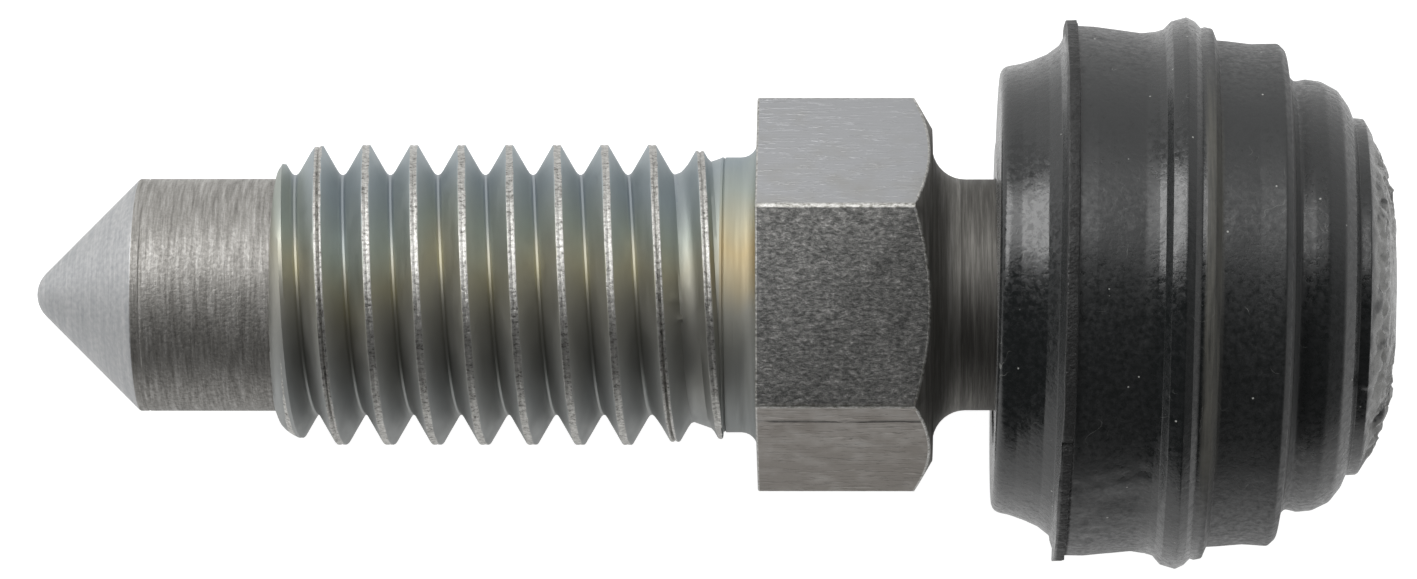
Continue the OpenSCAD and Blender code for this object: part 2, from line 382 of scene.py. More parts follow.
def rolled_root():
    """Burnished root of the thread: a slick line that shines pale straw, then blue."""
    material, tree, shader = fresh("rolled_thread_root", Metallic=1.0, Roughness=0.46)
    colour = chromate_tint(tree, on_axis(tree), ROOT_R, [
        (0.1, "#949694"), (0.42, "#a09e93"), (0.54, "#aaa690"), (0.66, "#a6a496"), (0.78, "#9ba19f"),
        (0.92, "#959da2"),
    ])
    connect(tree, shader, {"Base Color": colour})
    return material


def bruised_steel(name, stops, grain_size, depth, roughness):
    """Steel pressed or knocked into crumbs of this size in millimetres, some bright and some dark."""
    material, tree, shader = fresh(name, Metallic=1.0, Roughness=roughness)
    place = on_axis(tree)
    along = add(tree, "ShaderNodeMapping", {"Vector": place, "Scale": (1.0, 1.0, 0.6)})
    crumbs = add(tree, "ShaderNodeTexNoise", {
        "Vector": along, "Scale": 1 / grain_size, "Detail": 5.0, "Roughness": 0.75,
    })
    clouds = add(tree, "ShaderNodeTexNoise", {"Vector": place, "Scale": 1.5, "Detail": 2.0})
    tone = add(tree, "ShaderNodeMath", {
        0: add(tree, "ShaderNodeMath", {0: clouds, 1: 0.5}, operation="SUBTRACT"), 1: 0.12, 2: crumbs,
    }, operation="MULTIPLY_ADD")
    colour = add(tree, "ShaderNodeValToRGB", {"Fac": tone}, stops=stops)
    normal = add(tree, "ShaderNodeBump", {"Height": crumbs, "Distance": depth * MM})
    connect(tree, shader, {"Base Color": colour, "Normal": normal})
    return material


def rolled_crest():
    """Crest of the thread: metal folded together by the dies, broken, bright and sparkling."""
    stops = [(0.36, "#696864"), (0.46, "#a5a4a0"), (0.62, "#cbcac6")]
    return bruised_steel("rolled_thread_crest", stops, 0.08, 0.018, 0.42)


def worn_and_highlit_edge():
    """Edges of the hexagon, knocked bright in the plating drum, and paler than the flats also as a painted
    highlight along the edge.
    """
    # Pale stops: worn zinc, and in part a painted highlight along the edges
    stops = [(0.36, "#77766f"), (0.48, "#a3a29e"), (0.6, "#c8c7c4")]
    return bruised_steel("worn_and_highlit_zinc_edge", stops, 0.09, 0.02, 0.45)


def pitted_steel():
    """Flat that the die bit into: evenly pitted, so that it looks dark and grainy."""
    stops = [(0.36, "#565655"), (0.5, "#757573"), (0.6, "#8f8e8c"), (0.7, "#b4b3b0")]
    return bruised_steel("pitted_zinc_plated_steel", stops, 0.09, 0.02, 0.55)


def hexagon_steel():
    """Cold-drawn flats: smooth and pale, darker and browner on the side away from the lamps as painted
    shade, with short scratches along the bar.
    """
    material, tree, shader = fresh("drawn_steel_painted_shade", Metallic=1.0)
    place = on_axis(tree)
    along = add(tree, "ShaderNodeMapping", {"Vector": place, "Scale": (11.0, 11.0, 1.3)})
    scratches = add(tree, "ShaderNodeTexNoise", {
        "Vector": along, "Scale": 1.0, "Detail": 3.0, "Roughness": 0.6,
    })
    marks = add(tree, "ShaderNodeMapRange", {"Value": scratches, "From Min": 0.57, "From Max": 0.63})
    up = add(tree, "ShaderNodeSeparateXYZ", {"Vector": place}, "X")
    tint = add(tree, "ShaderNodeTexNoise", {"Vector": place, "Scale": 1.4, "Detail": 5.0})
    # Painted shade: the flats darken and brown towards the side away from the lamps, with a random tint over
    # it
    tone = add(tree, "ShaderNodeMath", {0: up, 1: 0.1, 2: tint}, operation="MULTIPLY_ADD")
    colour = add(tree, "ShaderNodeValToRGB", {"Fac": tone}, stops=[
        (0.0, "#837e78"), (0.25, "#96928d"), (0.6, "#a0a09f"), (0.9, "#a5a6a8"),
    ])
    # A long dark scratch, broken here and there, that the die left beside the lower front edge
    low = add(tree, "ShaderNodeMath", {0: up, 1: 3.2}, operation="ADD")
    wander = add(tree, "ShaderNodeMath", {0: scratches, 1: 0.1, 2: low}, operation="MULTIPLY_ADD")
    gouge = add(tree, "ShaderNodeMapRange", {
        "Value": add(tree, "ShaderNodeMath", {0: wander}, operation="ABSOLUTE"),
        "From Min": 0.015, "From Max": 0.035, "To Min": 0.8, "To Max": 0.0,
    })
    pressed = add(tree, "ShaderNodeMapRange", {"Value": scratches, "From Min": 0.42, "From Max": 0.5})
    gouge = add(tree, "ShaderNodeMath", {0: gouge, 1: pressed}, operation="MULTIPLY")
    colour = add(tree, "ShaderNodeMixRGB", {"Fac": gouge, "Color1": colour, "Color2": linear("#2c2a28")})
    dull = add(tree, "ShaderNodeMapRange", {"Value": marks, "To Min": 0.52, "To Max": 0.38})
    height = add(tree, "ShaderNodeMath", {0: marks, 1: 0.7, 2: scratches}, operation="MULTIPLY_ADD")
    height = add(tree, "ShaderNodeMath", {0: height, 1: gouge}, operation="SUBTRACT")
    normal = add(tree, "ShaderNodeBump", {"Height": height, "Distance": 0.016 * MM})
    connect(tree, shader, {"Base Color": colour, "Roughness": dull, "Normal": normal})
    return material


def moulded_rubber():
    """Moulded EPDM rubber: black with a satin skin, pale dust specks and a bloomed band by the rib."""
    material, tree, shader = fresh("moulded_black_rubber", IOR=1.6)
    connect(tree, shader, {"Sheen Weight": 0.12, "Sheen Roughness": 0.35})
    place = on_axis(tree)
    # Height above the end of the cap, which leans against the screw, and the same in tens for the ramps
    height = add(tree, "ShaderNodeMath", {
        0: add(tree, "ShaderNodeSeparateXYZ", {"Vector": place}, "X"), 1: math.sin(CAP_LEAN),
        2: add(tree, "ShaderNodeSeparateXYZ", {"Vector": place}, "Z"),
    }, operation="MULTIPLY_ADD")
    tens = add(tree, "ShaderNodeMath", {0: height, 1: 0.1}, operation="MULTIPLY")
    skin = add(tree, "ShaderNodeTexNoise", {"Vector": place, "Scale": 7.0, "Detail": 4.0, "Roughness": 0.62})
    # The mould was polished at the rib and at the mouth, and is duller at the band and the barrel
    polish = add(tree, "ShaderNodeValToRGB", {"Fac": tens}, stops=[
        (0.26, "#989898"), (0.3, "#b2b2b2"), (0.5, "#b2b2b2"), (0.515, "#8a8a8a"), (0.64, "#8a8a8a"),
        (0.68, "#acacac"), (0.84, "#acacac"), (0.88, "#888888"),
    ])
    dull = add(tree, "ShaderNodeMath", {
        0: add(tree, "ShaderNodeMath", {0: skin, 1: 0.5}, operation="SUBTRACT"), 1: 0.75, 2: polish,
    }, operation="MULTIPLY_ADD")
    # Bloom: wax that came to the surface in a dull brown band, on the side away from the table
    around = add(tree, "ShaderNodeMapping", {"Vector": place, "Scale": (0.6, 0.6, 12.0)})
    streaks = add(tree, "ShaderNodeTexNoise", {"Vector": around, "Scale": 1.0, "Detail": 3.0})
    bloom = add(tree, "ShaderNodeValToRGB", {"Fac": tens}, stops=[
        (0.476, "#000000"), (0.488, "#ffffff"), (0.52, "#ffffff"), (0.53, "#000000"),
    ])
    bloom = add(tree, "ShaderNodeMath", {
        0: bloom, 1: add(tree, "ShaderNodeMapRange", {
            "Value": streaks, "From Min": 0.35, "From Max": 0.6, "To Min": 0.35, "To Max": 1.0,
        }),
    }, operation="MULTIPLY")
    bloom = add(tree, "ShaderNodeMath", {
        0: bloom, 1: add(tree, "ShaderNodeMapRange", {
            "Value": add(tree, "ShaderNodeSeparateXYZ", {"Vector": place}, "Y"),
            "From Min": -5.6, "From Max": -3.4, "To Min": 1.0, "To Max": 0.0,
        }),
    }, operation="MULTIPLY")
    # The fin was torn along its edge, and is as rough as a cut there
    torn = add(tree, "ShaderNodeValToRGB", {"Fac": tens}, stops=[
        ((FIN_Z - 0.03) / 10, "#000000"), ((FIN_Z + 0.02) / 10, "#ffffff"),
        ((LAND_Z - 0.02) / 10, "#ffffff"), ((LAND_Z + 0.03) / 10, "#000000"),
    ])
    # Dust: specks of 0.06 mm, in some of the cells of 0.45 mm
    cell = {"Vector": place, "Scale": 2.2}
    speck = add(tree, "ShaderNodeMath", {
        0: add(tree, "ShaderNodeMapRange", {
            "Value": add(tree, "ShaderNodeTexVoronoi", cell), "From Min": 0.04, "From Max": 0.075,
            "To Min": 1.0, "To Max": 0.0,
        }),
        1: add(tree, "ShaderNodeMath", {
            0: add(tree, "ShaderNodeTexVoronoi", cell, "Color"), 1: 0.66,
        }, operation="GREATER_THAN"),
    }, operation="MULTIPLY")
    # Scuffs: hair-thin pale lines in a few places
    lines = add(tree, "ShaderNodeTexNoise", {"Vector": place, "Scale": 1.7, "Detail": 1.0})
    places = add(tree, "ShaderNodeTexNoise", {"Vector": place, "Scale": 0.9, "Detail": 2.0})
    scuff = add(tree, "ShaderNodeMath", {
        0: add(tree, "ShaderNodeMath", {0: lines, 1: 0.45, 2: 0.003}, operation="COMPARE"),
        1: add(tree, "ShaderNodeMapRange", {
            "Value": places, "From Min": 0.6, "From Max": 0.66, "To Min": 0.0, "To Max": 0.6,
        }),
    }, operation="MULTIPLY")
    colour = add(tree, "ShaderNodeValToRGB", {"Fac": skin}, stops=[(0.3, "#0e1111"), (0.7, "#181a1b")])
    # The domed end was torn off the runner, and its torn skin is painted pale grey there, a painted
    # reflection on its gloss
    end = add(tree, "ShaderNodeMapRange", {
        "Value": height, "From Min": 0.75, "From Max": 0.9, "To Min": 1.0, "To Max": 0.0,
    })
    rags = add(tree, "ShaderNodeTexNoise", {"Vector": place, "Scale": 1.3, "Detail": 3.0, "Roughness": 0.6})
    end = add(tree, "ShaderNodeMath", {
        0: end, 1: add(tree, "ShaderNodeMapRange", {"Value": rags, "From Min": 0.36, "From Max": 0.46}),
    }, operation="MULTIPLY")
    # Painted reflection: pale grey mixed onto the ragged torn end
    colour = add(tree, "ShaderNodeMixRGB", {"Fac": end, "Color1": colour, "Color2": linear("#7c7c7a")})
    colour = add(tree, "ShaderNodeMixRGB", {"Fac": bloom, "Color1": colour, "Color2": linear("#4b4a44")})
    colour = add(tree, "ShaderNodeMixRGB", {"Fac": scuff, "Color1": colour, "Color2": linear("#6f706d")})
    colour = add(tree, "ShaderNodeMixRGB", {"Fac": torn, "Color1": colour, "Color2": linear("#0b0c0c")})
    colour = add(tree, "ShaderNodeMixRGB", {"Fac": speck, "Color1": colour, "Color2": linear("#a3a4a0")})
    matt = add(tree, "ShaderNodeMath", {0: bloom, 1: torn}, operation="MAXIMUM")
    dull = add(tree, "ShaderNodeMath", {0: matt, 1: 0.35, 2: dull}, operation="MULTIPLY_ADD")
    crumbs = add(tree, "ShaderNodeTexNoise", {"Vector": place, "Scale": 11.0, "Detail": 3.0})
    uneven = add(tree, "ShaderNodeMath", {
        0: add(tree, "ShaderNodeMath", {0: torn, 1: crumbs}, operation="MULTIPLY"), 1: 5.0, 2: skin,
    }, operation="MULTIPLY_ADD")
    normal = add(tree, "ShaderNodeBump", {"Height": uneven, "Distance": 0.009 * MM})
    connect(tree, shader, {"Base Color": colour, "Roughness": dull, "Normal": normal})
    return material


def nipple_line(grow):
    """Outline of the hose nipple from its end to the neck, grown by a clearance."""
    line = [
        (0, NIPPLE_Z, 0),
        (NIPPLE_END_R + grow, NIPPLE_Z, 0.4),
        (BULB_R + grow, BULB_Z, 0.3),
        (BULB_R + grow, BULB_BACK_Z, 0.3),
    ]
    for k in range(1, 9):
        fall = (1 - math.cos(math.pi * k / 8)) / 2
        line.append((
            BULB_R + (NECK_R - BULB_R) * fall + grow,
            BULB_BACK_Z + (NECK_Z - BULB_BACK_Z) * k / 8 + grow, 0,
        ))
    return line


def turned_body():
    """All that the lathe made: nipple with its bore, neck, shank, core of the thread, pilot and cone."""
    core_r = 3.0
    corners = nipple_line(0)
    corners[0] = (BORE_R, NIPPLE_Z, 0)
    corners = [(0, PORT_Z, 0), (BORE_R - 0.2, PORT_Z, 0), (BORE_R, PORT_Z - 0.7, 0)] + corners
    corners += [(NECK_R, HEX_Z - NECK_FILLET, 0)]
    corners += [
        (
            NECK_R + NECK_FILLET - NECK_FILLET * math.cos(math.radians(a)),
            HEX_Z - NECK_FILLET + NECK_FILLET * math.sin(math.radians(a)), 0,
        )
        for a in range(10, 91, 10)
    ]
    corners += [
        (NECK_R + NECK_FILLET + 0.02, HEX_Z + 0.3, 0),
        (NECK_R + NECK_FILLET + 0.02, SHANK_Z - 0.3, 0),
    ]
    corners += [
        (
            SHANK_R + SHANK_FILLET - SHANK_FILLET * math.sin(math.radians(a)),
            SHANK_Z + SHANK_FILLET - SHANK_FILLET * math.cos(math.radians(a)), 0,
        )
        for a in range(0, 91, 15)
    ]
    corners += [
        (SHANK_R, RUNOUT_Z - 0.08, 0.01), (SHANK_R - 0.04, RUNOUT_Z - 0.05, 0.01),
        (SHANK_R, RUNOUT_Z - 0.02, 0.01), (SHANK_R, RUNOUT_Z + 0.04, 0), (core_r, RUNOUT_Z + 0.1, 0),
        (core_r, PILOT_Z - 0.3, 0), (PILOT_R, PILOT_Z - 0.2, 0),
        (PILOT_R, CONE_Z - 0.3, 0.02), (PILOT_R - 0.02, CONE_Z - 0.26, 0.01),
        (PILOT_R, CONE_Z - 0.22, 0.02), (PILOT_R, CONE_Z - 0.02, 0.09),
    ]
    corners += [
        (NOSE_R * math.sin(math.radians(a)), NOSE_Z + NOSE_R * math.cos(math.radians(a)), 0)
        for a in range(45, -1, -9)
    ]
    line = split(rounded(corners), 0.8)
    return spun("turned_screw", line, 160)


def beveled(piece, chosen, width, segments):
    """The piece with the edges for which chosen is true beveled. chosen sees an edge's two ends."""
    active(piece)
    bpy.ops.object.mode_set(mode="EDIT")
    bpy.ops.mesh.select_mode(type="EDGE")
    bpy.ops.mesh.select_all(action="DESELECT")
    bpy.ops.object.mode_set(mode="OBJECT")
    vertices = piece.data.vertices
    for edge in piece.data.edges:
        edge.select = chosen(*(vertices[v].co for v in edge.vertices))
    bpy.ops.object.mode_set(mode="EDIT")
    bpy.ops.mesh.bevel(offset=width, segments=segments, affect="EDGES")
    bpy.ops.mesh.select_mode(type="VERT")
    bpy.ops.object.mode_set(mode="OBJECT")
    return piece


def hexagon():
    """Drawn hexagon with worn edges; the chamfer on the side of the neck is cut from it afterwards."""
    deselect()
    bpy.ops.mesh.primitive_cylinder_add(
        vertices=6, radius=HEX_FLATS / math.sqrt(3), depth=SHANK_Z - HEX_Z,
        location=(0, 0, (HEX_Z + SHANK_Z) / 2), rotation=(0, 0, HEX_TURN + math.radians(90)),
    )
    bar = named(bpy.context.object, "hexagon")
    bpy.ops.object.transform_apply(location=True, rotation=True, scale=True)
    bar = beveled(bar, lambda a, b: abs(a.z - b.z) > 1, width=0.08, segments=3)
    return beveled(bar, lambda a, b: min(a.z, b.z) > SHANK_Z - 0.01, width=0.05, segments=2)


def chamfer_edge(a, b):
    """True for an edge where the turned chamfer meets a flat of the hexagon."""
    def on_cone(p):
        reach = math.hypot(p.x, p.y)
        return abs(p.z - HEX_Z - (reach - CHAMFER_R) * CHAMFER_SLOPE) < 0.002 and reach > CHAMFER_R + 0.05
    def on_flat(p):
        turn = (math.atan2(p.y, p.x) - HEX_TURN) % math.radians(60) - math.radians(30)
        return abs(math.hypot(p.x, p.y) * math.cos(turn) - HEX_FLATS / 2) < 0.002
    return on_cone(a) and on_cone(b) and on_flat(a) and on_flat(b)


def chamfer_space():
    """The turned space that the hexagon is cut to: a cone on the side of the neck."""
    inner = CHAMFER_R - 0.3 / CHAMFER_SLOPE
    line = [
        (0, HEX_Z - 0.3), (inner, HEX_Z - 0.3),
        (6.2, HEX_Z + (6.2 - CHAMFER_R) * CHAMFER_SLOPE), (6.2, SHANK_Z + 0.3), (0, SHANK_Z + 0.3),
    ]
    return spun("chamfer_space", [Vector(p) for p in line], 160)


def flat_ends(piece, low_z, high_z):
    """Cuts a piece off level at both ends and closes it."""
    active(piece)
    bpy.ops.object.mode_set(mode="EDIT")
    for z, inner in ((low_z, True), (high_z, False)):
        bpy.ops.mesh.select_all(action="SELECT")
        bpy.ops.mesh.bisect(
            plane_co=(0, 0, z), plane_no=(0, 0, 1), use_fill=True,
            clear_inner=inner, clear_outer=not inner,
        )
    bpy.ops.mesh.select_all(action="SELECT")
    bpy.ops.mesh.normals_make_consistent(inside=False)
    bpy.ops.object.mode_set(mode="OBJECT")


def along_helix(points):
    """Turns along the thread from where its ridge begins, and height above the middle of the crest."""
    _, angle = polar(points)
    turns = (points[:, 2] - RUNOUT_Z) / PITCH - (angle - math.pi) / math.tau
    nearest = np.round(turns)
    return nearest + (angle - math.pi) / math.tau, (turns - nearest) * PITCH


def rolled_thread():
    """Right-hand thread swept by one pitch of its outline, with low last turns and a rising start."""
    half = CREST_W / 2
    valley = CREST_R - (PITCH / 2 - half) / math.tan(math.radians(30))
    pitch_line = [
        (CREST_R, 0, 0), (CREST_R, 0.015, 0), (CREST_R, 0.045, 0), (CREST_R, half, 0.04),
        (valley, PITCH / 2, 0.16), (CREST_R, PITCH - half, 0.04),
        (CREST_R, PITCH - 0.045, 0), (CREST_R, PITCH - 0.015, 0), (CREST_R, PITCH, 0),
    ]
    start_z = RUNOUT_Z - PITCH * 1.5
    line = [Vector((p.x, p.y + start_z)) for p in split(rounded(pitch_line, 5), 0.2)]
    thread = drawn("rolled_thread", line)
    active(thread)
    bpy.ops.object.modifier_add(type="SCREW")
    sweep = thread.modifiers[-1]
    sweep.angle, sweep.screw_offset, sweep.iterations = math.tau, PITCH, 13
    sweep.steps = sweep.render_steps = 200
    sweep.use_merge_vertices, sweep.merge_threshold = True, 0.0005
    bpy.ops.object.modifier_apply(modifier=sweep.name)

    points = points_of(thread)
    radius, angle = polar(points)
    z = points[:, 2]
    turns, off = along_helix(points)
    # The dies left the last turns low, and folded the metal of every crest together along a seam
    low = np.interp(turns, [0.6, 1.4], [0.16, 0.0])
    radius = radius - low * np.clip((radius - ROOT_R) / 0.4, 0, 1)
    crest = np.clip(1.5 - np.abs(off) / 0.09, 0, 1)
    rough = grain(points, 0.13, 3)
    radius = radius + crest * 0.014 * rough
    seam = 0.012 + 0.02 * np.clip(grain(points, 0.9, 9), 0, 1)
    seam = seam + 0.07 * bump(turns, 0.9, 0.45) + 0.06 * bump(turns, 8.4, 0.35)
    radius = radius - seam * bump(off, 0.0, 0.028)
    # Burrs that stand on three of the crests
    for a, burr_z, size in ((-97.7, 22.80, 0.14), (-92.0, 18.75, 0.12), (-101.0, 18.62, 0.1)):
        away = np.hypot(turn_from(angle, math.radians(a)) * CREST_R, z - burr_z)
        radius = radius + size * bump(away, 0, 0.07)
    rise = np.clip((PILOT_Z - z) / 1.5, 0, 1)
    start = ROOT_R + (CREST_R - ROOT_R) * np.sqrt(1 - (1 - rise) ** 2)
    root = np.interp(z, [RUNOUT_Z, RUNOUT_Z + 1.3], [SHANK_R, ROOT_R])
    radius = np.maximum(np.minimum(radius, start), root)
    radius = np.where(z < RUNOUT_Z, SHANK_R, radius)
    put_polar(points, radius, angle)
    put_points(thread, points)
    flat_ends(thread, RUNOUT_Z + 0.01, PILOT_Z)
    return thread


def cross_port():
    deselect()
    bpy.ops.mesh.primitive_cylinder_add(
        vertices=40, radius=PORT_R, depth=PILOT_R + 1,
        location=(0, (PILOT_R + 1) / 2, PORT_Z), rotation=(math.radians(90), 0, 0),
    )
    drill = named(bpy.context.object, "cross_port")
    bpy.ops.object.transform_apply(location=True, rotation=True, scale=True)
    return drill


def paint_screw(screw):
    """Each stretch of the screw gets the surface that its making left."""
    surfaces = [
        turned_pilot(), turned_cone(), neck_with_painted_shade(), turned_shoulder(), shank_steel(), rolled_flank(),
        rolled_root(), rolled_crest(), hexagon_steel(), pitted_steel(), worn_and_highlit_edge(),
    ]
    for surface in surfaces:
        screw.data.materials.append(surface)
    pilot, cone, neck, shoulder, shank, flank, root, crest, flat, pitted, edge = range(len(surfaces))
    count = len(screw.data.polygons)
    centres, normals = np.empty(count * 3), np.empty(count * 3)
    screw.data.polygons.foreach_get("center", centres)
    screw.data.polygons.foreach_get("normal", normals)
    centres, normals = centres.reshape(-1, 3), normals.reshape(-1, 3)
    radius, angle = polar(centres)
    z = centres[:, 2]
    _, off = along_helix(centres)
    zone = np.full(count, pilot, dtype=np.int32)
    zone[z > CONE_Z - 0.03] = cone
    zone[z < HEX_Z + 0.01] = shoulder
    zone[z < HEX_Z - NECK_FILLET + 0.1] = neck
    zone[(z > SHANK_Z - 0.01) & (z < PILOT_Z - 0.001)] = shank
    threaded = (z > RUNOUT_Z + 0.02) & (z < PILOT_Z - 0.001)
    zone[threaded] = flank
    zone[threaded & (radius < ROOT_R + 0.05)] = root
    folded = threaded & (np.abs(off) < 0.13) & (radius > SHANK_R + 0.02)
    wander = 0.025 * grain(centres, 0.4, 10)
    zone[folded & (np.abs(off + wander) < 0.092)] = crest
    on_bar = (z > HEX_Z - 0.01) & (z < SHANK_Z + 0.01) & (radius > 3.95)
    # A face of the hexagon belongs to a flat if it looks the way that the flat does
    look = np.arctan2(normals[:, 1], normals[:, 0]) - HEX_TURN
    off_flat = np.abs(look % math.radians(60) - math.radians(30))
    level = np.abs(normals[:, 2]) < 0.2
    zone[on_bar] = edge
    zone[on_bar & level & (off_flat < math.radians(8))] = flat
    facing = np.abs(normals[:, 1] * math.cos(HEX_TURN) - normals[:, 0] * math.sin(HEX_TURN))
    zone[on_bar & (facing > 0.99)] = pitted
    zone[on_bar & (np.abs(normals[:, 2]) > 0.95)] = shank
    chamfered = np.abs(z - HEX_Z - (radius - CHAMFER_R) * CHAMFER_SLOPE) < 0.02
    zone[on_bar & chamfered & (normals[:, 2] < -0.8)] = shoulder
    screw.data.polygons.foreach_set("material_index", zone)


def turned_screw():
    screw = turned_body()
    bar = joined(hexagon(), chamfer_space(), "INTERSECT")
    bar = beveled(bar, chamfer_edge, width=0.05, segments=2)
    screw = joined(screw, bar, "UNION")
    screw = joined(screw, rolled_thread(), "UNION")
    screw = joined(screw, cross_port(), "DIFFERENCE")
    paint_screw(screw)
    return laid_down(screw, "screw", "valve_screw", 32)


def cap_line():
    """Outline of the cap: domed end, collar, bulge, band, rib, barrel, flash fin, mouth, lip and pocket."""
    corners = [(DOME_R * k / 24, DOME_Z * (k / 24) ** 2.9, 0) for k in range(24)]
    corners += [(DOME_R, DOME_Z, 0.05), (DOME_R + 0.02, COLLAR_Z, 0.05)]
    # The bulge swells from the collar, and a hollow leads up to the band
    corners += [
        (5.02, 1.34, 0.3), (5.4, 1.62, 0.3), (5.62, 2.05, 0.4), (5.67, 2.45, 0.3), (5.6, 2.76, 0.15),
        (5.78, 2.92, 0.1), (6.42, 3.03, 0.1), (6.58, 3.2, 0.12), (6.56, 3.86, 0.5),
    ]
    # Band up to a small step, and the round rib above it
    corners += [
        (6.62, 4.5, 0.3), (6.64, 4.79, 0.04), (6.94, 4.91, 0.05), (6.98, 5.1, 0.02), (6.95, 5.2, 0.02),
        (7.12, 5.36, 0.06), (7.23, 5.58, 0.09), (7.11, 5.98, 0.06), (6.89, 6.18, 0.08), (6.83, 6.38, 0.1),
    ]
    # Barrel, flash fin and the edge past it
    corners += [
        (6.78, 6.75, 0.4), (6.85, 7.32, 0.5), (6.93, 8.0, 0.4), (6.94, FIN_Z, 0.02), (FIN_R, FIN_Z, 0.02),
        (FIN_R, LAND_Z, 0.02), (6.76, LAND_Z, 0.03),
    ]
    # Hollow down to the mouth, and the mouth
    corners += [
        (6.42, 8.9, 0.12), (6.18, 9.21, 0.2), (6.03, 9.55, 0.3), (5.92, 9.88, 0.3), (5.82, MOUTH_Z, 0.5),
    ]
    corners += [(NECK_R + POCKET_GAP, MOUTH_Z, 0.06)]
    outside = split(rounded(corners, 5), 0.13)
    pocket = split(rounded(nipple_line(POCKET_GAP)[::-1], 4), 0.6)
    pocket[-1] = Vector((0, NIPPLE_Z - POCKET_GAP))
    return outside + pocket


def crease(angle, z, a0, z0, a1, z1, width, depth):
    """A shallow line pressed into the rubber, from one angle and height to another."""
    share = np.clip((z - z0) / (z1 - z0), 0, 1)
    middle = math.radians(a0) + math.radians(a1 - a0) * share
    along = np.clip((z - z0) * (z1 - z) / 0.02, 0, 1)
    return -depth * along * bump(turn_from(angle, middle) * BARREL_R, 0, width)


def moulding_marks(points, radius, angle):
    """Change of radius from creases, dimples, sink marks and the ragged flash fin."""
    z = points[:, 2]
    skin = (radius > 4.0) & (z < MOUTH_Z - 0.5)
    swell = 0.02 * grain(points, 2.2, 1) + 0.006 * grain(points, 0.5, 2)
    marks = swell + crease(angle, z, -19.5, 6.5, -20.5, 8.2, 0.05, 0.03)
    marks += crease(angle, z, -131.5, 6.3, -136.5, 8.4, 0.05, 0.035)
    marks += crease(angle, z, -144.5, 6.4, -146.0, 8.3, 0.05, 0.015)
    # A facet below the lower crease
    marks -= 0.05 * bump(turn_from(angle, math.radians(-141)) * BARREL_R, 0, 0.45) * bump(z, 7.3, 0.8)
    for a, centre, size, depth in (
        (-148, 8.05, 0.14, 0.06), (-153, 7.8, 0.12, 0.05), (-158, 7.95, 0.16, 0.05),
        (-102, 6.23, 0.13, 0.03), (-18.5, 8.05, 0.08, 0.07), (-63, 3.9, 0.1, 0.03),
    ):
        away = np.hypot(turn_from(angle, math.radians(a)) * BARREL_R, z - centre)
        marks -= depth * bump(away, 0, size)
    marks = np.where(skin, marks, 0)
    fin = (radius > 6.97) & (z > FIN_Z - 0.03) & (z < LAND_Z + 0.03)
    teeth = 0.05 * grain(points * (1, 1, 0.3), 0.5, 4) + 0.03 * grain(points * (1, 1, 0.3), 0.14, 5)
    notch = -0.12 * bump(turn_from(angle, math.radians(-124)) * 7.0, 0, 0.16)
    return np.where(fin, teeth + notch, marks)


def torn_end(points, radius, angle):
    """Height of the torn skin on the domed end, where the runner was pulled off."""
    upper = bump(turn_from(angle, 0), 0, 0.75) * bump(radius, 2.7, 0.75)
    lower = bump(turn_from(angle, math.pi), 0, 0.95) * bump(radius, 2.9, 1.3)
    around = 0.6 * bump(radius, 3.9, 0.4)
    rags = grain(points, 0.42, 6) + 0.6 * grain(points, 0.17, 7)
    rags = np.sign(rags) * np.sqrt(np.abs(rags)) * 0.18
    return np.where(points[:, 2] < DOME_Z - 0.01, rags * np.clip(upper + lower + around, 0, 1), 0)


def moulded_cap():
    cap = spun("moulded_cap", cap_line(), 264)
    points = points_of(cap)
    radius, angle = polar(points)
    outer = (radius > 4.0) | (points[:, 2] < NIPPLE_Z - 0.2)
    height = points[:, 2] - torn_end(points, radius, angle)
    radius = radius + moulding_marks(points, radius, angle)
    # The flash fin wavers, and steps towards the mouth below its notch
    on_fin = bump(height, (FIN_Z + LAND_Z) / 2, 0.3) * (radius > 6.5)
    step = 1 / (1 + np.exp(turn_from(angle, math.radians(-126)) * 14)) * (np.sin(angle) < 0)
    height = height + on_fin * (0.035 * grain(points * (1, 1, 0), 1.1, 8) + 0.07 * step)
    # The rib runs aslant, nearer to the mouth on the side away from the table
    height = height + 0.18 * bump(height, 5.5, 0.8) * np.clip(-np.sin(angle), 0, 1) * (radius > 6)
    # A pip on the collar
    pip = bump(np.hypot(turn_from(angle, math.radians(-118)) * COLLAR_R, height - 0.95), 0, 0.17)
    radius = radius + 0.12 * pip * (radius > 4.2)
    put_polar(points, radius, angle)
    points[:, 2] = height
    # The outside leans against the screw, and the pocket stays true to it
    share = np.where(outer, 1.0, 0.0) * np.clip((radius - 3.2) / 1.2, 0, 1)
    share = np.where(points[:, 2] < NIPPLE_Z - 0.2, 1.0, share)
    lean = CAP_LEAN * share
    x, z = points[:, 0].copy(), points[:, 2] - LEAN_Z
    points[:, 0] = x * np.cos(lean) + z * np.sin(lean) + CAP_SHIFT * share
    points[:, 2] = LEAN_Z - x * np.sin(lean) + z * np.cos(lean)
    put_points(cap, points)
    cap.data.materials.append(moulded_rubber())
    return laid_down(cap, "cap", "dust_cap", 40)


